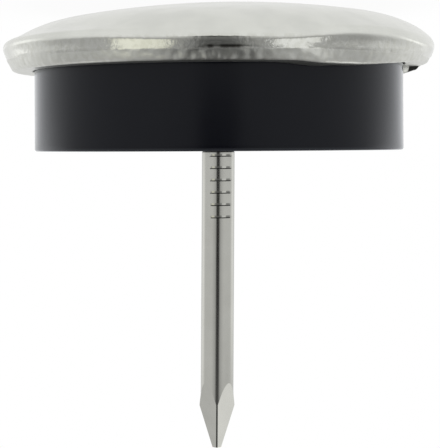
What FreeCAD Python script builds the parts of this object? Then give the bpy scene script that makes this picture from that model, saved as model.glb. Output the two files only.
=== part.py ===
import FreeCAD, Part
import math
import os

import Sketcher

# A nail-on furniture glide, standing on its dome as it does under a chair leg, with the nail pointing up.
# The origin is the lowest point of the dome, and +Z runs along the nail.

# Driving dimensions, in millimetres and degrees
SIZES = {
    # cap, pressed from sheet
    "cap_diameter": 28.0,
    "cap_sheet": 0.4,
    "crown_radius": 58.5,
    "shoulder_radius": 8.2,
    "edge_inside_radius": 0.2,
    "widest_height": 2.9,
    "wall_lean": 25.0,
    "wall_length": 1.13,
    "fold_radius": 0.3,
    "fold_inside_radius": 0.1,
    # pad, held by the cap's lip
    "pad_diameter": 24.0,
    "pad_stand": 5.13,
    "pad_edge_round": 0.15,
    "pad_clearance": 0.1,
    "lip_clearance": 0.1,
    # nail, its head held between cap and pad
    "nail_diameter": 2.15,
    "nail_reach": 19.45,
    "neck_diameter": 2.5,
    "head_diameter": 7.0,
    "head_thickness": 0.9,
    "head_seat_clearance": 0.02,
    "head_side_clearance": 0.15,
    "shank_clearance": 0.04,
    "point_angle": 23.0,
    "tip_flat": 0.4,
    # gripper marks on the shank
    "mark_first": 0.38,
    "mark_pitch": 0.797,
    "mark_depth": 0.07,
    "mark_width": 0.26,
    "mark_span": 87.0,
    "mark_turn": 11.0,
    # how far cutting outlines run past the faces that they open
    "cut_margin": 1.0,
}
MARK_COUNT = 6
MARKED_SIDES = 2
POINT_FACETS = 4

# The cap's outside, its cavity and the pad are the same cup outline at three depths into the cap
DEPTHS = {"cap": "0", "cavity": "cap_sheet", "pad": "cap_sheet + pad_clearance"}
BENDS = ("crown", "shoulder", "edge")

# Sizes that follow from the driving ones
DERIVED = {
    "edge_radius": "edge_inside_radius + cap_sheet",
    "edge_centre_reach": "cap_diameter / 2 - edge_radius",
    "wall_angle": "90 + wall_lean",
    "cap_fold_radius": "fold_radius",
    "cavity_fold_radius": "fold_inside_radius",
    "pad_fold_radius": "fold_inside_radius",
    "cap_lip_height": "widest_height + edge_radius * sin(wall_lean) + wall_length * cos(wall_lean)"
    " + cap_fold_radius * (1 - sin(wall_lean))",
    "cavity_lip_height": "cap_lip_height - cap_sheet",
    "pad_lip_height": "cavity_lip_height",
    "mouth_reach": "pad_radius + lip_clearance",
    "mouth_height": "cap_lip_height + cut_margin",
    "pad_radius": "pad_diameter / 2",
    "seat_height": "cap_lip_height + pad_stand",
    "nail_radius": "nail_diameter / 2",
    "neck_radius": "neck_diameter / 2",
    "head_radius": "head_diameter / 2",
    "head_base": "crown_radius - sqrt((crown_radius - cap_sheet) ^ 2 - head_radius ^ 2) + head_seat_clearance",
    "head_top": "head_base + head_thickness",
    "head_room": "head_radius + head_side_clearance",
    "neck_room": "neck_radius + shank_clearance",
    "shank_room": "nail_radius + shank_clearance",
    "bore_height": "seat_height + cut_margin",
    "nail_seat": "seat_height - head_base",
    "nail_length": "nail_seat + nail_reach",
    "tip_reach": "tip_flat / 2",
    "facet_reach": "nail_radius + cut_margin",
    "facet_foot": "nail_length - (facet_reach - tip_reach) / tan(point_angle / 2)",
    "facet_turn": f"180 / {POINT_FACETS}",
    "mark_floor": "nail_radius - mark_depth",
    "mark_mouth": "nail_radius + mark_depth",
    "mark_axis_reach": "(nail_diameter * mark_depth - mark_depth ^ 2)"
    " / (nail_diameter * (1 - cos(mark_span / 2)) - 2 * mark_depth)",
    "mark_plane_turn": "90 - mark_turn",
}
for skin, depth in DEPTHS.items():
    for bend in BENDS:
        DERIVED[f"{skin}_{bend}_radius"] = f"{bend}_radius - ({depth})"
for number in range(MARK_COUNT):
    DERIVED[f"mark_{number}_middle"] = f"nail_seat + mark_first + {number} * mark_pitch"
    DERIVED[f"mark_{number}_low"] = f"mark_{number}_middle - mark_width"
    DERIVED[f"mark_{number}_high"] = f"mark_{number}_middle + mark_width"

# The points of a line or arc and the sketch's own axes, as constraints number them
START, END, CENTRE = range(1, 4)
ACROSS_AXIS, UP_AXIS = range(-1, -3, -1)

doc = FreeCAD.newDocument("glide")
sheet = doc.addObject("Spreadsheet::Sheet", "sizes")


def fill_sheet():
    """One row for each size: its name, then its number or formula."""
    cells = {name: str(number) for name, number in SIZES.items()}
    cells.update({name: f"={formula}" for name, formula in DERIVED.items()})
    for row, (name, text) in enumerate(cells.items(), start=1):
        sheet.set(f"A{row}", name)
        sheet.set(f"B{row}", text)
        sheet.setAlias(f"B{row}", name)
    doc.recompute()


def size(name):
    """The sheet's number of that name, or 0 for None, which stands for the axis."""
    return float(sheet.get(name)) if name else 0.0


def origin_part(body, role):
    return next(part for part in body.Origin.OriginFeatures if part.Role == role)


class Outline:
    """A sketch on an upright plane through a body's axis, with every size tied to the sheet."""

    def __init__(self, body, name, turn=None):
        self.sketch = body.newObject("Sketcher::SketchObject", name)
        self.sketch.AttachmentSupport = (origin_part(body, "XZ_Plane"), [""])
        self.sketch.MapMode = "FlatFace"
        if turn:
            about_axis = FreeCAD.Rotation(FreeCAD.Vector(0, 1, 0), size(turn))
            self.sketch.AttachmentOffset = FreeCAD.Placement(FreeCAD.Vector(), about_axis)
            self.sketch.setExpression(".AttachmentOffset.Rotation.Angle", f"sizes.{turn}")

    def line(self, start, end, construction=False):
        ends = [FreeCAD.Vector(across, up, 0) for across, up in (start, end)]
        return self.sketch.addGeometry(Part.LineSegment(*ends), construction)

    def arc(self, centre, radius, start_angle, end_angle):
        circle = Part.Circle(FreeCAD.Vector(*centre, 0), FreeCAD.Vector(0, 0, 1), radius)
        return self.sketch.addGeometry(Part.ArcOfCircle(circle, start_angle, end_angle))

    def tie(self, kind, *where):
        return self.sketch.addConstraint(Sketcher.Constraint(kind, *where))

    def tie_size(self, kind, *where, name):
        """A dimension that follows the sheet's cell of that name."""
        is_angle = kind == "Angle"
        index = self.tie(kind, *where, math.radians(size(name)) if is_angle else size(name))
        label = f"{name}_{index}"
        self.sketch.renameConstraint(index, label)
        self.sketch.setExpression(f"Constraints.{label}", f"sizes.{name}" + (" * 1 deg" if is_angle else ""))

    def tie_point(self, piece, point, across, up):
        """Puts a point at a reach across and a height up, each a sheet cell or None."""
        if across is None and up is None:
            self.tie("Coincident", piece, point, ACROSS_AXIS, START)
            return
        for kind, name, axis in (("DistanceX", across, UP_AXIS), ("DistanceY", up, ACROSS_AXIS)):
            if name:
                self.tie_size(kind, piece, point, name=name)
            else:
                self.tie("PointOnObject", piece, point, axis)

    def run(self, corners):
        """Straight lines through the corners, each a pair of sheet cells. All but the first are tied."""
        at = [tuple(size(name) for name in corner) for corner in corners]
        lines = [self.line(start, end) for start, end in zip(at, at[1:])]
        for line, corner in zip(lines, corners[1:]):
            self.tie_point(line, END, *corner)
        for before, after in zip(lines, lines[1:]):
            self.tie("Coincident", before, END, after, START)
        return lines

    def closed_run(self, corners):
        lines = self.run([corners[-1]] + corners)
        self.tie("Coincident", lines[-1], END, lines[0], START)


def shoulder_centre():
    """Where the arc that is tangent to the crown and to the edge has its centre."""
    crown = (0.0, size("crown_radius"))
    edge = (size("edge_centre_reach"), size("widest_height"))
    from_crown = size("crown_radius") - size("shoulder_radius")
    from_edge = size("shoulder_radius") - size("edge_radius")
    apart = math.dist(crown, edge)
    along = (from_crown**2 - from_edge**2 + apart**2) / (2 * apart)
    aside = math.sqrt(from_crown**2 - along**2)
    across, up = ((edge[i] - crown[i]) / apart for i in range(2))
    return (crown[0] + along * across + aside * up, crown[1] + along * up - aside * across)


def draw_cup(outline, skin, corners):
    """The pressed cup's section at one depth: crown, shoulder, edge, leaning wall and folded lip.

    The lip ends at the first corner, and the rest lead from there to the axis.
    """
    radius = {bend: size(f"{skin}_{bend}_radius") for bend in (*BENDS, "fold")}
    lean = math.radians(size("wall_lean"))
    outward = (math.cos(lean), math.sin(lean))
    crown = (0.0, size("crown_radius"))
    shoulder = shoulder_centre()
    edge = (size("edge_centre_reach"), size("widest_height"))
    lip_height = size(f"{skin}_lip_height")
    fold_height = lip_height - radius["fold"]
    wall_reach = edge[0] * outward[0] + edge[1] * outward[1] + radius["edge"]
    fold = ((wall_reach - radius["fold"] - fold_height * outward[1]) / outward[0], fold_height)
    to_shoulder = math.atan2(shoulder[1] - crown[1], shoulder[0] - crown[0])
    to_edge = math.atan2(edge[1] - shoulder[1], edge[0] - shoulder[0])
    arcs = {
        "crown": outline.arc(crown, radius["crown"], -math.pi / 2, to_shoulder),
        "shoulder": outline.arc(shoulder, radius["shoulder"], to_shoulder, to_edge),
        "edge": outline.arc(edge, radius["edge"], to_edge, lean),
        "fold": outline.arc(fold, radius["fold"], lean, math.pi / 2),
    }
    wall_ends = [
        [centre[i] + radius[bend] * outward[i] for i in range(2)]
        for bend, centre in (("edge", edge), ("fold", fold))
    ]
    wall = outline.line(*wall_ends)
    lip = outline.line((fold[0], lip_height), (size(corners[0][0]), lip_height))
    chain = [arcs["crown"], arcs["shoulder"], arcs["edge"], wall, arcs["fold"], lip]
    for before, after in zip(chain, chain[1:]):
        outline.tie("Tangent", before, END, after, START)
    for bend, arc in arcs.items():
        outline.tie_size("Radius", arc, name=f"{skin}_{bend}_radius")
    outline.tie("PointOnObject", arcs["crown"], START, UP_AXIS)
    outline.tie_point(arcs["crown"], CENTRE, None, "crown_radius")
    outline.tie_point(arcs["edge"], CENTRE, "edge_centre_reach", "widest_height")
    outline.tie_size("Angle", wall, name="wall_angle")
    outline.tie("Horizontal", lip)
    outline.tie_point(lip, END, *corners[0])

    # from the lip to the axis, and down the axis to the crown
    lines = [lip, *outline.run(corners)]
    down = outline.line((0.0, size(corners[-1][1])), (0.0, crown[1] - radius["crown"]))
    if len(lines) > 1:
        outline.tie("Coincident", lip, END, lines[1], START)
    outline.tie("Coincident", lines[-1], END, down, START)
    outline.tie("Coincident", down, END, arcs["crown"], START)


def add_feature(body, kind, name, **settings):
    feature = body.newObject(f"PartDesign::{kind}", name)
    for setting, value in settings.items():
        setattr(feature, setting, value)
    doc.recompute()
    return feature


def turned(body, kind, name, outline, axis="V_Axis"):
    """A full turn of an outline about one of its own axes, as material or as a cut."""
    return add_feature(
        body, kind, name, Profile=outline.sketch, ReferenceAxis=(outline.sketch, [axis]), Angle=360
    )


def repeated(body, name, original, copies):
    """Copies of a cut, evenly spaced round the body's axis."""
    axis = (origin_part(body, "Z_Axis"), [""])
    body.Tip = add_feature(
        body, "PolarPattern", name, Originals=[original], Axis=axis, Angle=360, Occurrences=copies
    )
    doc.recompute()


def rim_edge(feature, radius, height):
    """The name of the round edge of that radius at that height."""
    for index, edge in enumerate(feature.Shape.Edges, start=1):
        if edge.Degenerated or not isinstance(edge.Curve, Part.Circle):
            continue
        if math.isclose(edge.Curve.Radius, radius) and math.isclose(edge.Curve.Center.z, height):
            return f"Edge{index}"
    raise RuntimeError(f"{feature.Label} has no round edge of {radius} mm at {height} mm")


def make_cap():
    """A steel cup whose wall leans in and whose lip is folded flat over the pad's flange."""
    body = doc.addObject("PartDesign::Body", "domed_cap")
    outside = Outline(body, "cap_outside")
    draw_cup(outside, "cap", [(None, "cap_lip_height")])
    turned(body, "Revolution", "pressed_cup", outside)
    inside = Outline(body, "cap_inside")
    mouth = [("mouth_reach", "cavity_lip_height"), ("mouth_reach", "mouth_height"), (None, "mouth_height")]
    draw_cup(inside, "cavity", mouth)
    turned(body, "Groove", "cavity_and_mouth", inside)
    return body


def make_pad():
    """A moulded cushion that fills the cup, with a flange under the lip and a bore for the nail."""
    body = doc.addObject("PartDesign::Body", "pad")
    outside = Outline(body, "pad_outside")
    draw_cup(outside, "pad", [("pad_radius", "pad_lip_height"), ("pad_radius", "seat_height"), (None, "seat_height")])
    cushion = turned(body, "Revolution", "cushion", outside)
    rim = rim_edge(cushion, size("pad_radius"), size("seat_height"))
    softened = add_feature(body, "Fillet", "softened_rim", Base=(cushion, [rim]), Radius=size("pad_edge_round"))
    softened.setExpression("Radius", "sizes.pad_edge_round")
    bore = Outline(body, "nail_bore")
    bore.closed_run(
        [
            (None, None),
            ("head_room", None),
            ("head_room", "head_top"),
            ("neck_room", "head_top"),
            ("shank_room", "seat_height"),
            ("shank_room", "bore_height"),
            (None, "bore_height"),
        ]
    )
    turned(body, "Groove", "stepped_bore", bore)
    return body


def make_nail():
    """A headed wire nail with a four-sided point and gripper marks on two sides of its shank."""
    body = doc.addObject("PartDesign::Body", "nail")
    wire = Outline(body, "headed_wire")
    wire.closed_run(
        [
            (None, None),
            ("head_radius", None),
            ("head_radius", "head_thickness"),
            ("neck_radius", "head_thickness"),
            ("nail_radius", "nail_seat"),
            ("nail_radius", "nail_length"),
            (None, "nail_length"),
        ]
    )
    turned(body, "Revolution", "headed_shank", wire)

    facet = Outline(body, "point_facet", turn="facet_turn")
    facet.closed_run(
        [("tip_reach", "nail_length"), ("facet_reach", "facet_foot"), ("facet_reach", "nail_length")]
    )
    cut = add_feature(body, "Pocket", "facet_cut", Profile=facet.sketch, Type="ThroughAll", SideType="Symmetric")
    repeated(body, "point_facets", cut, POINT_FACETS)

    # each mark is a ridge of the gripping die, round about an axis beyond the nail's own
    marks = Outline(body, "gripper_marks", turn="mark_plane_turn")
    for number in range(MARK_COUNT):
        low, middle, high = (f"mark_{number}_{level}" for level in ("low", "middle", "high"))
        marks.closed_run([("mark_floor", middle), ("mark_mouth", low), ("mark_mouth", high)])
    beyond = -size("mark_axis_reach")
    die_axis = marks.line((beyond, 0.0), (beyond, size("nail_length")), construction=True)
    marks.tie("Vertical", die_axis)
    marks.tie("PointOnObject", die_axis, START, ACROSS_AXIS)
    marks.tie_size("DistanceX", die_axis, START, ACROSS_AXIS, START, name="mark_axis_reach")
    marks.tie_size("DistanceY", die_axis, END, name="nail_length")
    grooves = turned(body, "Groove", "mark_cut", marks, axis="Axis0")
    repeated(body, "marks_both_sides", grooves, MARKED_SIDES)
    body.setExpression(".Placement.Base.z", "sizes.head_base")
    return body


def check_and_write(bodies):
    doc.recompute()
    for item in doc.Objects:
        if {"Invalid", "Error"} & set(item.State):
            raise RuntimeError(f"{item.Label} failed: {item.State}")
    for body in bodies:
        if body.Shape.isNull() or not body.Shape.isValid() or len(body.Shape.Solids) != 1:
            raise RuntimeError(f"{body.Label} is not one valid solid")
    os.makedirs("parts", exist_ok=True)
    for body in bodies:
        body.Shape.exportStep(f"parts/{body.Label}.step")
        print(body.Label, f"{body.Shape.Volume:.3f} mm3")


fill_sheet()
check_and_write([make_cap(), make_pad(), make_nail()])
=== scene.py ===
import math

import bmesh
import bpy
from mathutils import Matrix, Vector, noise


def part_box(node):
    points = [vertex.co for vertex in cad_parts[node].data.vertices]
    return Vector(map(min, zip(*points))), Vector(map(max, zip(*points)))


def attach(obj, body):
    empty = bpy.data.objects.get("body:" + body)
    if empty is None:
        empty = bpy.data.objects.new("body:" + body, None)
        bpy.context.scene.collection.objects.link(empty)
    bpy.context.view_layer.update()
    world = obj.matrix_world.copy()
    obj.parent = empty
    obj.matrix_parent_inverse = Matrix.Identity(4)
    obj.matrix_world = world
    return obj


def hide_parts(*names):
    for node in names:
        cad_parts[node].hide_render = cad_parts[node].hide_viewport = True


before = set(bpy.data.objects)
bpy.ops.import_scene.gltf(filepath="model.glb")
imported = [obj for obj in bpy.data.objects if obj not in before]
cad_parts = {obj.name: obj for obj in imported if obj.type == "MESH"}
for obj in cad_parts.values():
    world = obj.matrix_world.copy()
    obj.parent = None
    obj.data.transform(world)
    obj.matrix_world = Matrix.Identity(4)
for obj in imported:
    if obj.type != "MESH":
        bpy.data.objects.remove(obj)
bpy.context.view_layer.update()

# A nail-on furniture glide that stands on its dome, nail up. The photograph shows it the other way up,
# so the camera hangs upside down, and its right-hand side is the object's -X side.

MM = 0.001

# Sizes read from the frame, in metres
CAP_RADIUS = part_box("domed_cap")[1].x
LIP_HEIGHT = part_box("domed_cap")[1].z
SEAT_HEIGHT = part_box("pad")[1].z
HEAD_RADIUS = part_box("nail")[1].x
HEAD_BASE, TIP_HEIGHT = (corner.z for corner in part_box("nail"))

# The cap's section
SHEET = 0.4 * MM
CROWN_RADIUS = 58.5 * MM
SHOULDER_RADIUS = 8.2 * MM
EDGE_RADIUS = 0.6 * MM
WIDEST_HEIGHT = 2.9 * MM
WALL_LEAN = math.radians(25)
FOLD_RADIUS = 0.3 * MM
FOLD_INSIDE_RADIUS = 0.1 * MM
MOUTH_RADIUS = 12.1 * MM
LIP_ROUND = 0.1 * MM

# How this cap differs from a true round one. Spans are in degrees round the axis.
DOME_LEAN = 0.0176
DOME_FADE_START, DOME_FADE_END = 1.8 * MM, WIDEST_HEIGHT + 0.1 * MM
EDGE_FADE_START, EDGE_FADE_END = 3.3 * MM, 4.1 * MM
UPPER_LEAN, LOWER_LEAN = math.radians(21), math.radians(28.5)
KINK_HEIGHT = 3.64 * MM
CRIMP_START = KINK_HEIGHT - 0.35 * MM
RIPPLE_DEPTH = 0.02 * MM
RIPPLE_LENGTH = 0.45 * MM
CREASE_DEPTH = 0.009 * MM
CREASE_LENGTH = 0.27 * MM
RIPPLE_EASE = 0.1 * MM
ROUGH_FRONT, ROUGH_FRONT_SPAN = 1.4, (-14, -6, 9, 15)
DENT_DEPTH, DENT_HALF_WIDTH, DENT_HEIGHT = 0.025 * MM, 0.09 * MM, 3.5 * MM
DENT_SPAN = (-4, -2.5, 6, 10.5)
CURL_RISE, CURL_SPAN = 0.12 * MM, (12, 22, 26, 36)
DROP, DROP_SPAN = 0.12 * MM, (18, 28, 36, 50)
NOTCH_DEPTH, NOTCH_SPREAD, NOTCH_SPAN = 0.42 * MM, 0.14 * MM, (42, 74, 96, 98.5)
TAB_TILT, TAB_PIVOT, TAB_SPAN = 0.36 * MM, 0.45, (95, 98, 106, 130)
FRONT_EDGE_DROP, FRONT_EDGE_SPAN = 0.09 * MM, (-34, -12, 10, 26)
LEFT_EDGE_RISE, LEFT_EDGE_SPAN = 0.2 * MM, (-85, -60, -45, -4)
RIGHT_EDGE_RISE, RIGHT_EDGE_SPAN = 0.3 * MM, (16, 36, 44, 66)

# Where shade is painted on the cap: near black in the torn fold, and a dark tone in the pinched dent
FOLD_SHADE_SPAN = (95.6, 96.2, 98.2, 98.8)
FOLD_SHADE_REACH, FOLD_SHADE_EASE = 12.7 * MM, 0.1 * MM
PINCH_SHADE_HEIGHT, PINCH_SHADE_FADE = 3.56 * MM, (0.03 * MM, 0.15 * MM)
PINCH_SHADE_SPANS = ((-3.1, -2.2, -1.7, -0.8), (-0.2, 0.8, 4.4, 6.6))

# The pad's section
PAD_RADIUS = 12.0 * MM
PAD_EDGE_ROUND = 0.15 * MM
PAD_CLEARANCE = 0.1 * MM
SHANK_CLEARANCE = 0.04 * MM
HEAD_SIDE_CLEARANCE = 0.15 * MM

# The nail
NAIL_RADIUS = 1.075 * MM
NECK_RADIUS = 1.25 * MM
HEAD_THICKNESS = 0.9 * MM
POINT_FACETS = 4
POINT_ANGLE = math.radians(23)
TIP_FLAT = 0.4 * MM
RIDGE_FLAT = 0.1 * MM
FLARE = 0.07
FLARE_SPAN = (3.7 * MM, 2.6 * MM)
MARK_COUNT = 6
MARK_FIRST = 0.342 * MM
MARK_PITCH = 0.8 * MM
MARK_DEPTH = 0.031 * MM
MARK_RAMP, MARK_STEP = 0.12 * MM, 0.06 * MM
MARK_SPAN = math.radians(87)
MARK_TURN = math.radians(11)
ROOT_DEPTH, ROOT_LENGTH = 0.05 * MM, 0.12 * MM
NAIL_LEAN = 0.0105
LEAN_START = SEAT_HEIGHT - 5.5 * MM

# Fineness of the meshes
CAP_STEPS = 800
PAD_STEPS = 400
PAD_BEND_STEPS, PAD_FOLD_STEPS, PAD_WALL_STEPS = 8, 3, 24
PAD_ROUND_STEPS, PAD_FACE_STEPS = 5, 12
NAIL_STEPS = 96
HEAD_FACE_STEPS, HEAD_SIDE_STEPS, NECK_STEPS, ROOT_STEPS = 3, 2, 8, 3
MARK_GAP_STEPS, MARK_RAMP_STEPS, MARK_STEP_STEPS = 4, 4, 3
SHANK_STEPS = 120
MERGE = 0.001 * MM
SHARP_ANGLE = math.radians(28)
NAIL_SHARP_ANGLE = math.radians(8)

# The photograph's frame and viewpoint, in pixels and metres
FRAME_WIDTH, FRAME_HEIGHT = 440, 448
FOCAL_PIXELS = 1450
AXIS_COLUMN, EYE_ROW = 219.2, 144.5
CAMERA_DISTANCE = 95.13 * MM
EYE_HEIGHT = 9.09 * MM
CAMERA_ROLL = math.radians(-0.3)


def smooth_step(value, low, high):
    """Rises smoothly from 0 at low to 1 at high."""
    share = min(max((value - low) / (high - low), 0.0), 1.0)
    return share * share * (3 - 2 * share)


def photo_azimuth(place):
    """How far round the axis a place lies, in degrees: 0 faces the camera, 90 is the photograph's right."""
    return math.degrees(math.atan2(-place.x, -place.y))


def over_span(azimuth, span):
    """1 within the span's two inner azimuths, falling to 0 at its two outer ones."""
    start, full, ease, end = span
    return smooth_step(azimuth, start, full) - smooth_step(azimuth, ease, end)


class Section:
    """Half of a round piece's outline, drawn as a chain of edges and then turned about the axis."""

    def __init__(self, reach, height):
        self.mesh = bmesh.new()
        self.end = self.mesh.verts.new((reach, 0, height))

    def straight(self, reach, height, steps=1):
        """Runs straight on to a place."""
        step = (Vector((reach, 0, height)) - self.end.co) / steps
        for _ in range(steps):
            self.end = bmesh.ops.extrude_vert_indiv(self.mesh, verts=[self.end])["verts"][0]
            bmesh.ops.translate(self.mesh, verts=[self.end], vec=step)

    def bend(self, centre, to_angle, steps):
        """Goes round a centre until it stands at that angle from it."""
        reach, height = centre
        from_angle = math.atan2(self.end.co.z - height, self.end.co.x - reach)
        made = bmesh.ops.spin(
            self.mesh,
            geom=[self.end],
            cent=(reach, 0, height),
            axis=(0, -1, 0),
            angle=to_angle - from_angle,
            steps=steps,
        )
        self.end = next(part for part in made["geom_last"] if isinstance(part, bmesh.types.BMVert))

    def turned(self, steps):
        """The closed round shape that the outline sweeps."""
        bmesh.ops.spin(
            self.mesh,
            geom=self.mesh.verts[:] + self.mesh.edges[:],
            cent=(0, 0, 0),
            axis=(0, 0, 1),
            angle=2 * math.pi,
            steps=steps,
            use_merge=True,
        )
        bmesh.ops.remove_doubles(self.mesh, verts=self.mesh.verts, dist=MERGE)
        bmesh.ops.recalc_face_normals(self.mesh, faces=self.mesh.faces)
        return self.mesh


def add_piece(name, mesh, material, node, sharp_angle):
    """Makes an object of a finished mesh, which stands for a node of the frame."""
    for face in mesh.faces:
        face.smooth = True
    for edge in mesh.edges:
        edge.smooth = edge.calc_face_angle(0) < sharp_angle
    data = bpy.data.meshes.new(name)
    mesh.to_mesh(data)
    mesh.free()
    data.materials.append(material)
    piece = bpy.data.objects.new(name, data)
    bpy.context.scene.collection.objects.link(piece)
    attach(piece, "root")
    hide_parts(node)


def shoulder_centre():
    """Where the arc that is tangent to the crown and to the edge has its centre."""
    crown = Vector((0, CROWN_RADIUS))
    edge = Vector((CAP_RADIUS - EDGE_RADIUS, WIDEST_HEIGHT))
    from_crown = CROWN_RADIUS - SHOULDER_RADIUS
    from_edge = SHOULDER_RADIUS - EDGE_RADIUS
    apart = (edge - crown).length
    along = (from_crown**2 - from_edge**2 + apart**2) / (2 * apart)
    aside = math.sqrt(from_crown**2 - along**2)
    across, up = (edge - crown) / apart
    return crown + Vector((along * across + aside * up, along * up - aside * across))


def cap_bends(depth=0.0):
    """The bends of the cap's outside, or of the skin at a depth into it, from the axis outwards.

    Each is its centre, its radius and the angle at its outer end.
    """
    crown = Vector((0, CROWN_RADIUS))
    shoulder = shoulder_centre()
    edge = Vector((CAP_RADIUS - EDGE_RADIUS, WIDEST_HEIGHT))
    fold_radius, fold_height = FOLD_RADIUS, LIP_HEIGHT - FOLD_RADIUS
    if depth:
        fold_radius, fold_height = FOLD_INSIDE_RADIUS, LIP_HEIGHT - SHEET - FOLD_INSIDE_RADIUS
    from_edge = (EDGE_RADIUS - depth - fold_radius) / math.cos(WALL_LEAN)
    along_wall = (edge.y - fold_height) * math.tan(WALL_LEAN)
    fold = Vector((edge.x + from_edge + along_wall, fold_height))
    to_shoulder = math.atan2(*(shoulder - crown).yx)
    to_edge = math.atan2(*(edge - shoulder).yx)
    return [
        (crown, CROWN_RADIUS - depth, to_shoulder),
        (shoulder, SHOULDER_RADIUS - depth, to_edge),
        (edge, EDGE_RADIUS - depth, WALL_LEAN),
        (fold, fold_radius, math.pi / 2),
    ]


LIP_START = cap_bends()[-1][0].x

# Fine steps for the outside of each of the cap's bends, and coarse ones for the inside
OUTSIDE_STEPS = (12, 12, 10, 8)
INSIDE_STEPS = (6, 4, 3, 2)
UPPER_WALL_STEPS, LOWER_WALL_STEPS = 16, 8
LIP_STEPS, LIP_ROUND_STEPS = 8, 4


def crimped_cap(material):
    """The pressed dome with its wall leaning in and its lip folded over the pad."""
    bends = cap_bends()
    (crown, _, to_shoulder), (shoulder, _, to_edge), (edge, _, _), (fold, fold_radius, to_lip) = bends
    crown_steps, shoulder_steps, edge_steps, fold_steps = OUTSIDE_STEPS
    section = Section(0, 0)
    section.bend(crown, to_shoulder, crown_steps)
    section.bend(shoulder, to_edge, shoulder_steps)
    section.bend(edge, UPPER_LEAN, edge_steps)
    kink_rise = KINK_HEIGHT - section.end.co.z
    section.straight(section.end.co.x - kink_rise * math.tan(UPPER_LEAN), KINK_HEIGHT, UPPER_WALL_STEPS)
    fold_start = fold + fold_radius * Vector((math.cos(LOWER_LEAN), math.sin(LOWER_LEAN)))
    section.straight(*fold_start, LOWER_WALL_STEPS)
    section.bend(fold, to_lip, fold_steps)
    section.straight(MOUTH_RADIUS + LIP_ROUND, LIP_HEIGHT, LIP_STEPS)
    section.bend((MOUTH_RADIUS + LIP_ROUND, LIP_HEIGHT - LIP_ROUND), math.pi, LIP_ROUND_STEPS)
    section.straight(MOUTH_RADIUS, LIP_HEIGHT - SHEET)

    # back along the inside, a sheet's thickness in
    starts = (-math.pi / 2, bends[0][2], bends[1][2], WALL_LEAN)
    inside = cap_bends(SHEET)
    for (centre, radius, to_angle), from_angle, steps in reversed(list(zip(inside, starts, INSIDE_STEPS))):
        section.straight(*(centre + radius * Vector((math.cos(to_angle), math.sin(to_angle)))))
        section.bend(centre, from_angle, steps)
    mesh = section.turned(CAP_STEPS)
    for vert in mesh.verts:
        vert.co = unevenly_pressed(vert.co)
    add_piece("crimped_cap", mesh, material, "domed_cap", SHARP_ANGLE)


def unevenly_pressed(place):
    """Where a place of the true round cap lies on this one, with its leaning dome and rough crimp."""
    azimuth = photo_azimuth(place)
    reach, height = place.xy.length, place.z
    on_dome = 1 - smooth_step(height, DOME_FADE_START, DOME_FADE_END)
    moved = place.copy()
    moved.z += on_dome * (DOME_LEAN * place.x + CROWN_RADIUS * DOME_LEAN**2 / 2)

    near_edge = smooth_step(height, DOME_FADE_START, WIDEST_HEIGHT)
    near_edge *= 1 - smooth_step(height, EDGE_FADE_START, EDGE_FADE_END)
    moved.z += FRONT_EDGE_DROP * near_edge * over_span(azimuth, FRONT_EDGE_SPAN)
    moved.z -= LEFT_EDGE_RISE * near_edge * over_span(azimuth, LEFT_EDGE_SPAN)
    moved.z -= RIGHT_EDGE_RISE * near_edge * over_span(azimuth, RIGHT_EDGE_SPAN)

    on_wall = smooth_step(height, CRIMP_START, LIP_HEIGHT - FOLD_RADIUS)
    notch = on_wall * over_span(azimuth, NOTCH_SPAN)
    moved.z += DROP * on_wall * over_span(azimuth, DROP_SPAN) - NOTCH_DEPTH * notch
    along_lip = min(max((LIP_START - reach) / (LIP_START - MOUTH_RADIUS), 0.0), 1.0)
    if notch:
        moved.xy *= 1 + NOTCH_SPREAD * notch * (1 - along_lip) / reach

    if height > LIP_HEIGHT - SHEET - MERGE:
        moved.z += CURL_RISE * along_lip**4 * over_span(azimuth, CURL_SPAN)
        moved.z += TAB_TILT * (along_lip - TAB_PIVOT) * over_span(azimuth, TAB_SPAN)

    if height > KINK_HEIGHT:
        ripple = RIPPLE_DEPTH * noise.noise(place / RIPPLE_LENGTH)
        ripple += CREASE_DEPTH * noise.noise(place.xy.to_3d() / CREASE_LENGTH)
        ripple *= 1 + ROUGH_FRONT * over_span(azimuth, ROUGH_FRONT_SPAN)
        on_band = smooth_step(height, KINK_HEIGHT, KINK_HEIGHT + RIPPLE_EASE)
        moved.xy *= 1 + ripple * on_band / reach

    dent = max(1 - abs(height - DENT_HEIGHT) / DENT_HALF_WIDTH, 0.0) * over_span(azimuth, DENT_SPAN)
    if dent and reach > CAP_RADIUS - EDGE_RADIUS:
        moved.xy *= 1 - DENT_DEPTH * dent / reach
    return moved


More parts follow.
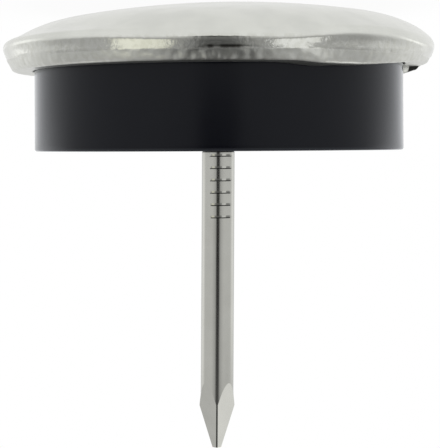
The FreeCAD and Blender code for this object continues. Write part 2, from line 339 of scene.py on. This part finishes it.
def moulded_pad(material):
    """The black cushion that fills the cap, with its flange under the lip and its bore for the nail."""
    depth = SHEET + PAD_CLEARANCE
    bends = cap_bends(depth)
    head_top = HEAD_BASE + HEAD_THICKNESS
    head_room = HEAD_RADIUS + HEAD_SIDE_CLEARANCE
    room_angle = -math.acos(head_room / (CROWN_RADIUS - depth))
    room_base = CROWN_RADIUS + (CROWN_RADIUS - depth) * math.sin(room_angle)
    section = Section(head_room, room_base)
    for centre, _, to_angle in bends[:-1]:
        section.bend(centre, to_angle, PAD_BEND_STEPS)
    fold, fold_radius, to_lip = bends[-1]
    section.straight(*(fold + fold_radius * Vector((math.cos(WALL_LEAN), math.sin(WALL_LEAN)))))
    section.bend(fold, to_lip, PAD_FOLD_STEPS)
    section.straight(PAD_RADIUS, LIP_HEIGHT - SHEET)
    section.straight(PAD_RADIUS, SEAT_HEIGHT - PAD_EDGE_ROUND, PAD_WALL_STEPS)
    round_centre = (PAD_RADIUS - PAD_EDGE_ROUND, SEAT_HEIGHT - PAD_EDGE_ROUND)
    section.bend(round_centre, math.pi / 2, PAD_ROUND_STEPS)
    section.straight(NAIL_RADIUS + SHANK_CLEARANCE, SEAT_HEIGHT, PAD_FACE_STEPS)
    section.straight(NECK_RADIUS + SHANK_CLEARANCE, head_top)
    section.straight(head_room, head_top)
    section.straight(head_room, room_base)
    mesh = section.turned(PAD_STEPS)
    # the flange keeps clear of the lip and follows it
    for vert in mesh.verts:
        if vert.co.xy.length > head_room + MERGE and vert.co.z < LIP_HEIGHT - SHEET + MERGE:
            vert.co.z = min(vert.co.z, LIP_HEIGHT - SHEET - PAD_CLEARANCE)
            vert.co = unevenly_pressed(vert.co)
    add_piece("moulded_pad", mesh, material, "pad", SHARP_ANGLE)


def wire_nail(material):
    """The headed wire nail with its gripper marks and its four-sided point."""
    section = Section(0, HEAD_BASE)
    section.straight(HEAD_RADIUS, HEAD_BASE, HEAD_FACE_STEPS)
    section.straight(HEAD_RADIUS, HEAD_BASE + HEAD_THICKNESS, HEAD_SIDE_STEPS)
    section.straight(NECK_RADIUS, HEAD_BASE + HEAD_THICKNESS, HEAD_FACE_STEPS)
    section.straight(NAIL_RADIUS - ROOT_DEPTH, SEAT_HEIGHT, NECK_STEPS)
    section.straight(NAIL_RADIUS, SEAT_HEIGHT + ROOT_LENGTH, ROOT_STEPS)
    for number in range(MARK_COUNT):
        deepest = SEAT_HEIGHT + MARK_FIRST + number * MARK_PITCH
        section.straight(NAIL_RADIUS, deepest - MARK_RAMP, MARK_GAP_STEPS)
        section.straight(NAIL_RADIUS, deepest, MARK_RAMP_STEPS)
        section.straight(NAIL_RADIUS, deepest + MARK_STEP, MARK_STEP_STEPS)
    section.straight(NAIL_RADIUS, TIP_HEIGHT, SHANK_STEPS)
    section.straight(0, TIP_HEIGHT)
    mesh = section.turned(NAIL_STEPS)

    for vert in mesh.verts:
        vert.co.xy *= 1 - mark_depth(vert.co) / NAIL_RADIUS
    for place, outward in point_cuts():
        bmesh.ops.bisect_plane(
            mesh,
            geom=mesh.verts[:] + mesh.edges[:] + mesh.faces[:],
            dist=MERGE / 10,
            plane_co=place,
            plane_no=outward,
            clear_outer=True,
        )
        bmesh.ops.holes_fill(mesh, edges=[edge for edge in mesh.edges if edge.is_boundary])
    flare_start, flare_full = (TIP_HEIGHT - below_tip for below_tip in FLARE_SPAN)
    for vert in mesh.verts:
        flare = smooth_step(vert.co.z, flare_start, flare_full)
        flare -= min(max((vert.co.z - flare_full) / (TIP_HEIGHT - flare_full), 0.0), 1.0)
        vert.co.x *= 1 + FLARE * flare
        vert.co.x += NAIL_LEAN * max(vert.co.z - LEAN_START, 0.0)
    add_piece("wire_nail", mesh, material, "nail", NAIL_SHARP_ANGLE)


def point_cuts():
    """The cuts that make the point, each a place on its plane and the way that it faces.

    Four facets come first, then a narrow flat on the ridge that each of the two dies forms inside it. The
    ridges where the dies part stay sharp.
    """
    up = Vector((0, 0, 1))
    tip = TIP_HEIGHT * up
    half_angle, half_turn = POINT_ANGLE / 2, math.pi / POINT_FACETS
    for number in range(POINT_FACETS):
        turn = (2 * number + 1) * half_turn
        outward = Vector((math.cos(turn), math.sin(turn), 0))
        yield tip + outward * TIP_FLAT / 2, outward * math.cos(half_angle) + up * math.sin(half_angle)
    slope = math.atan(math.tan(half_angle) / math.cos(half_turn))
    for outward in (Vector((0, -1, 0)), Vector((0, 1, 0))):
        corner = tip + outward * TIP_FLAT / 2 / math.cos(half_turn)
        facing = outward * math.cos(slope) + up * math.sin(slope)
        yield corner - facing * RIDGE_FLAT / 2, facing


def mark_depth(place):
    """How deep the gripping die has bitten into the wire at a place on its surface."""
    if place.z < SEAT_HEIGHT + ROOT_LENGTH:
        return 0.0
    above_ramp = place.z - SEAT_HEIGHT - MARK_FIRST + MARK_RAMP
    number = min(max(math.floor(above_ramp / MARK_PITCH), 0), MARK_COUNT - 1)
    along = above_ramp - number * MARK_PITCH
    bite = min(along / MARK_RAMP, (MARK_RAMP + MARK_STEP - along) / MARK_STEP)
    facing = math.atan2(place.y, place.x) + math.pi / 2 + MARK_TURN
    around = abs(math.remainder(facing, math.pi))
    hollow = (math.cos(around) - math.cos(MARK_SPAN / 2)) / (1 - math.cos(MARK_SPAN / 2))
    return MARK_DEPTH * min(max(2 * hollow, 0.0), 1.0) * max(bite, 0.0)


class Socket:
    """An output of a node. Arithmetic on it adds Math nodes, and node() adds any other kind."""

    def __init__(self, tree, output=None):
        self.tree = tree
        self.output = output

    def node(self, kind, settings=None, inputs=None):
        """A new node. Its settings are made first, then its sockets are filled or linked."""
        made = self.tree.nodes.new(f"ShaderNode{kind}")
        for name, value in (settings or {}).items():
            setattr(made, name, value)
        for name, value in (inputs or {}).items():
            if isinstance(name, int):
                socket = made.inputs[name]
            else:
                socket = next(each for each in made.inputs if each.enabled and each.name == name)
            if isinstance(value, Socket):
                self.tree.links.new(value.output, socket)
            else:
                socket.default_value = value
        return Socket(self.tree, next((each for each in made.outputs if each.enabled), None))

    def __getitem__(self, name):
        """Another output of the same node."""
        return Socket(self.tree, self.output.node.outputs[name])

    def maths(self, operation, *values):
        return self.node("Math", {"operation": operation}, dict(enumerate(values)))

    def __add__(self, other):
        return self.maths("ADD", self, other)

    def __sub__(self, other):
        return self.maths("SUBTRACT", self, other)

    def __rsub__(self, other):
        return self.maths("SUBTRACT", other, self)

    def __mul__(self, other):
        return self.maths("MULTIPLY", self, other)

    __radd__ = __add__
    __rmul__ = __mul__

    def rises(self, low, high):
        """0 below low and 1 above high, with a smooth rise between."""
        bounds = {"Value": self, "From Min": low, "From Max": high}
        return self.node("MapRange", {"interpolation_type": "SMOOTHSTEP"}, bounds)

    def mixed(self, first, second):
        """The first colour where this is 0 and the second where it is 1."""
        colours = {"Factor": self, "A": first, "B": second}
        return self.node("Mix", {"data_type": "RGBA"}, colours)


def new_finish(name):
    """An empty material and the start of its nodes."""
    material = bpy.data.materials.new(name)
    material.use_nodes = True
    material.node_tree.nodes.clear()
    return material, Socket(material.node_tree)


def grain(start, place, size, stretch=(1, 1, 1), detail=3.0):
    """Noise with grains of about that size, in metres, longer along an axis whose stretch is over 1."""
    scale = [1 / (size * share) for share in stretch]
    scaled = start.node("Mapping", {"vector_type": "POINT"}, {"Vector": place, "Scale": scale})
    return start.node("TexNoise", inputs={"Vector": scaled, "Scale": 1.0, "Detail": detail})


def satin_nickel():
    """Pressed and plated sheet: a satin dome, and a shinier wall where the crimping rollers ran."""
    material, start = new_finish("satin_nickel")
    place = start.node("TexCoord")["Object"]
    height = start.node("SeparateXYZ", inputs={"Vector": place})["Z"]
    rolled = height.rises(WIDEST_HEIGHT - 0.15 * MM, WIDEST_HEIGHT + 0.05 * MM)
    crimped = height.rises(KINK_HEIGHT - 0.03 * MM, KINK_HEIGHT + 0.05 * MM)
    blotch = grain(start, place, 2.2 * MM).rises(0.35, 0.7)
    speckle = grain(start, place, 0.35 * MM)
    colour = blotch.mixed((0.67, 0.677, 0.637, 1), (0.62, 0.627, 0.59, 1))
    rubbed = rolled * speckle.rises(0.42, 0.6)
    colour = rubbed.mixed(colour, (0.61, 0.615, 0.57, 1))
    # painted shade: a dark tone in the pinched dent of the wall
    colour = painted_pinch_shade(start, place).mixed(colour, (0.15, 0.145, 0.13, 1))
    # painted shade: near black at the torn end of the fold, for the hollow in shadow there
    colour = painted_fold_shade(start, place).mixed(colour, (0.012, 0.012, 0.011, 1))
    rough = 0.2 - 0.09 * rolled + 0.16 * crimped + 0.06 * speckle
    dents = speckle * (0.3 + 0.7 * rolled)
    bump = start.node("Bump", inputs={"Height": dents, "Strength": 0.7, "Distance": 0.02 * MM})
    surface = start.node(
        "BsdfPrincipled",
        inputs={"Base Color": colour, "Metallic": 1.0, "Roughness": rough, "Normal": bump},
    )
    start.node("OutputMaterial", inputs={"Surface": surface})
    return material


def within(along, span):
    """Does for a surface what over_span does for a vertex."""
    azimuth = along["X"].maths("ARCTAN2", 0 - along["X"], 0 - along["Y"])
    begin, full, fade, end = (math.radians(bound) for bound in span)
    return azimuth.rises(begin, full) - azimuth.rises(fade, end)


def painted_pinch_shade(start, place):
    """Painted shade: 1 in the short dent of the wall, where the sheet is pinched shut and the crease's
    shade is painted in as a dark tone.
    """
    along = start.node("SeparateXYZ", inputs={"Vector": place})
    off = along["Z"].maths("ABSOLUTE", along["Z"] - PINCH_SHADE_HEIGHT)
    left, right = (within(along, span) for span in PINCH_SHADE_SPANS)
    return (left + right) * (1 - off.rises(*PINCH_SHADE_FADE))


def painted_fold_shade(start, place):
    """Painted shade: 1 at the torn end of the fold, where a near-black tone stands for the shaded hollow
    inside it.
    """
    along = start.node("SeparateXYZ", inputs={"Vector": place})
    flat = start.node("CombineXYZ", inputs={"X": along["X"], "Y": along["Y"]})
    reach = start.node("VectorMath", {"operation": "LENGTH"}, {0: flat})["Value"]
    torn = within(along, FOLD_SHADE_SPAN)
    outer = reach.rises(FOLD_SHADE_REACH, FOLD_SHADE_REACH + FOLD_SHADE_EASE)
    return torn * outer * along["Z"].rises(KINK_HEIGHT - FOLD_SHADE_EASE, KINK_HEIGHT)


def black_plastic():
    """Moulded black plastic, faintly uneven, with a highlight painted along its edge at the seat."""
    material, start = new_finish("black_plastic")
    place = start.node("TexCoord")["Object"]
    cloud = grain(start, place, 1.5 * MM)
    speckle = grain(start, place, 0.12 * MM)
    height = start.node("SeparateXYZ", inputs={"Vector": place})["Z"]
    # painted highlight: lighter from just below the rounded edge, over the edge and the seat face
    painted_edge_highlight = height.rises(SEAT_HEIGHT - 0.22 * MM, SEAT_HEIGHT - 0.1 * MM)
    colour = cloud.mixed((0.002, 0.0023, 0.004, 1), (0.003, 0.0033, 0.0052, 1))
    colour = painted_edge_highlight.mixed(colour, (0.017, 0.018, 0.021, 1))
    rough = 0.16 + 0.08 * cloud
    bump = start.node("Bump", inputs={"Height": speckle, "Strength": 0.08, "Distance": 0.01 * MM})
    surface = start.node(
        "BsdfPrincipled",
        inputs={
            "Base Color": colour,
            "Roughness": rough,
            "IOR": 1.2,
            "Coat Weight": 1.0,
            "Coat Roughness": 0.18,
            "Coat IOR": 1.15,
            "Coat Tint": (0.95, 0.97, 1.0, 1),
            "Specular Tint": (0.93, 0.95, 1.0, 1),
            "Normal": bump,
        },
    )
    start.node("OutputMaterial", inputs={"Surface": surface})
    return material


def drawn_nickel():
    """Plated wire with fine lines along its length from the drawing die."""
    material, start = new_finish("drawn_nickel")
    place = start.node("TexCoord")["Object"]
    lines = grain(start, place, 0.09 * MM, (1, 1, 40))
    cloud = grain(start, place, 1.2 * MM)
    colour = cloud.mixed((0.47, 0.47, 0.44, 1), (0.40, 0.40, 0.37, 1))
    rough = 0.07 + 0.1 * lines
    bump = start.node("Bump", inputs={"Height": lines, "Strength": 0.12, "Distance": 0.01 * MM})
    surface = start.node(
        "BsdfPrincipled",
        inputs={"Base Color": colour, "Metallic": 1.0, "Roughness": rough, "Normal": bump},
    )
    start.node("OutputMaterial", inputs={"Surface": surface})
    return material


# The studio. The tent's bounds are parts of a direction of length 1: across X, along Y or up Z.
FLOOR_RADIUS = 2.0
FLOOR_DROP = 0.01 * MM
SHADOW_SHARE = 0.06
SHADOW_REACH = (10 * MM, 26 * MM)
FLOOR_SLOT_START = (90 * MM, 240 * MM)
TENT_WALL_TOP = (0.12, 0.42)
CEILING_LIGHT = 0.5
ZENITH_SHADE, ZENITH_START = 0.35, (0.85, 1.0)
WALL_LIGHT = 0.95
BACK_LIGHT = 0.9
BACK_TOP = (0.35, 0.75)
BACK_START = (0.05, 0.6)
SLOT_CORE, SLOT_SKIRT, SLOT_END = (0.1, 0.3), (0.1, 0.75), (0.1, 0.35)
CORE_SHARE, SKIRT_SHARE = 0.6, 0.4
LOW_SLOT_LIGHT, MIDDLE_SLOT_LIGHT, HIGH_SLOT_LIGHT = 0.05, 0.32, 0.16
MIDDLE_SLOT_START, HIGH_SLOT_START = (0.1, 0.3), (0.5, 0.7)
SIDE_LIGHT = 0.45
SIDE_START, SIDE_END, SIDE_TOP = (0.1, 0.5), (0.6, 0.9), (0.12, 0.2)
FLAG_SHADE = 0.2
FLAG_START, FLAG_FLOOR, FLAG_BACK = (0.75, 0.92), (0.15, 0.25), (-0.12, 0.1)
SOFT_LEVEL = 1.0


def lay_floor():
    """A white floor that keeps a faint shadow of the object."""
    mesh = bmesh.new()
    bmesh.ops.create_circle(mesh, cap_ends=True, segments=96, radius=FLOOR_RADIUS)
    bmesh.ops.translate(mesh, verts=mesh.verts, vec=(0, 0, -FLOOR_DROP))
    data = bpy.data.meshes.new("floor")
    mesh.to_mesh(data)
    mesh.free()
    floor = bpy.data.objects.new("floor", data)
    bpy.context.scene.collection.objects.link(floor)

    material, start = new_finish("white_floor")
    data.materials.append(material)
    place = start.node("TexCoord")["Object"]
    away = start.node("VectorMath", {"operation": "LENGTH"}, {0: place})["Value"]
    shadow = SHADOW_SHARE * (1 - away.rises(*SHADOW_REACH))
    ray = start.node("LightPath")
    seen = ray["Is Camera Ray"].maths("MAXIMUM", ray["Is Camera Ray"], ray["Is Glossy Ray"])
    seen = seen.maths("MAXIMUM", seen, ray["Is Transmission Ray"])
    matt = start.node("BsdfDiffuse", inputs={"Color": (0.9, 0.9, 0.9, 1)})
    white = start.node("Emission", inputs={"Color": (1, 1, 1, 1), "Strength": 1.0})
    surface = start.node("MixShader", inputs={0: seen * (1 - shadow), 1: matt, 2: white})
    # The camera's dark slot goes on over the floor in front, for mirrored light only.
    along = start.node("SeparateXYZ", inputs={"Vector": place})
    ahead = 0 - along["Y"]
    aside = ahead.maths("DIVIDE", ahead.maths("ABSOLUTE", along["X"]), ahead.maths("MAXIMUM", ahead, MM))
    slot = (1 - aside.rises(*SLOT_CORE)) * ahead.rises(*FLOOR_SLOT_START) * ray["Is Glossy Ray"]
    dark = start.node("BsdfDiffuse", inputs={"Color": (0.1, 0.1, 0.1, 1)})
    surface = start.node("MixShader", inputs={0: slot, 1: surface, 2: dark})
    start.node("OutputMaterial", inputs={"Surface": surface})


def hang_tent():
    """A white tent with a dim ceiling, bright side panels, a grey flag and the camera's dark slot.

    Only mirrored light shows these. Straight on, the tent is plain white.
    """
    world = bpy.data.worlds.new("tent")
    bpy.context.scene.world = world
    world.use_nodes = True
    world.node_tree.nodes.clear()
    start = Socket(world.node_tree)
    towards = start.node("SeparateXYZ", inputs={"Vector": start.node("TexCoord")["Generated"]})
    across, along, up = (towards[axis] for axis in "XYZ")
    ceiling = up.rises(*TENT_WALL_TOP)
    back = along.rises(*BACK_START) * (1 - up.rises(*BACK_TOP))
    front = WALL_LIGHT + (CEILING_LIGHT - WALL_LIGHT) * ceiling
    front = front * (1 - ZENITH_SHADE * up.rises(*ZENITH_START))
    tent = front + (BACK_LIGHT - front) * back
    panel = (along.rises(*SIDE_START) - along.rises(*SIDE_END)) * (1 - up.rises(*SIDE_TOP))
    tent = tent + SIDE_LIGHT * panel
    flag = (0 - across).rises(*FLAG_START) * up.rises(*FLAG_FLOOR) * (1 - along.rises(*FLAG_BACK))
    tent = tent * (1 - FLAG_SHADE * flag)
    aside = across.maths("ABSOLUTE", across)
    slot = 1 - CORE_SHARE * aside.rises(*SLOT_CORE) - SKIRT_SHARE * aside.rises(*SLOT_SKIRT)
    inside = LOW_SLOT_LIGHT + (MIDDLE_SLOT_LIGHT - LOW_SLOT_LIGHT) * up.rises(*MIDDLE_SLOT_START)
    inside = inside + (HIGH_SLOT_LIGHT - MIDDLE_SLOT_LIGHT) * up.rises(*HIGH_SLOT_START)
    tent = tent * (1 - slot * (1 - inside) * (1 - along.rises(*SLOT_END)))
    ray = start.node("LightPath")
    plain = ray["Is Camera Ray"].maths("MAXIMUM", ray["Is Camera Ray"], ray["Is Transmission Ray"])
    level = SOFT_LEVEL + (tent - SOFT_LEVEL) * ray["Is Glossy Ray"]
    level = level + (1 - level) * plain
    light = start.node("Background", inputs={"Color": (1, 1, 1, 1), "Strength": level})
    start.node("OutputWorld", inputs={"Surface": light})


def add_soft_box(name, height, distance, azimuth, elevation, size, radiance, colour):
    """A rectangular lamp that faces a height on the axis. Azimuth 0 is the camera's side, and 90 is +X."""
    turn, rise = math.radians(azimuth), math.radians(elevation)
    outward = Vector((math.sin(turn) * math.cos(rise), -math.cos(turn) * math.cos(rise), math.sin(rise)))
    lamp = bpy.data.lights.new(name, "AREA")
    lamp.shape = "RECTANGLE"
    lamp.size, lamp.size_y = (distance * side for side in size)
    lamp.energy = radiance * math.pi * lamp.size * lamp.size_y
    lamp.color = colour
    soft_box = bpy.data.objects.new(name, lamp)
    bpy.context.scene.collection.objects.link(soft_box)
    soft_box.location = outward * distance + Vector((0, 0, height))
    soft_box.rotation_euler = outward.to_track_quat("Z", "Y").to_euler()
    soft_box.visible_camera = False


def set_camera():
    """The photograph's viewpoint: level, close and upside down."""
    lens = bpy.data.cameras.new("camera")
    lens.sensor_width = 36.0
    lens.lens = lens.sensor_width * FOCAL_PIXELS / FRAME_HEIGHT
    lens.shift_x = (FRAME_WIDTH / 2 - AXIS_COLUMN) / FRAME_HEIGHT
    lens.shift_y = -(FRAME_HEIGHT / 2 - EYE_ROW) / FRAME_HEIGHT
    lens.clip_start = 1 * MM
    camera = bpy.data.objects.new("camera", lens)
    bpy.context.scene.collection.objects.link(camera)
    hanging = Matrix(((-1, 0, 0), (0, 0, -1), (0, -1, 0)))
    camera.rotation_euler = (hanging @ Matrix.Rotation(CAMERA_ROLL, 3, "Z")).to_euler()
    camera.location = (0, -CAMERA_DISTANCE, EYE_HEIGHT)
    bpy.context.scene.camera = camera


crimped_cap(satin_nickel())
moulded_pad(black_plastic())
wire_nail(drawn_nickel())
lay_floor()
hang_tent()
FRONT, SIDE = (LIP_HEIGHT, 120 * MM), (TIP_HEIGHT, 45 * MM)
add_soft_box("warm_box", *FRONT, 43, 31, (0.5, 0.22), 0.6, (1.0, 0.99, 0.8))
add_soft_box("white_box", *FRONT, -45, 31, (0.48, 0.2), 0.6, (1.0, 1.0, 1.0))
add_soft_box("left_side_box", *SIDE, 94, 25, (0.6, 0.35), 0.4, (1.0, 1.0, 1.0))
add_soft_box("right_side_box", *SIDE, -94, 25, (0.6, 0.35), 0.88, (1.0, 1.0, 1.0))
set_camera()
bpy.context.scene.view_settings.view_transform = "Standard"
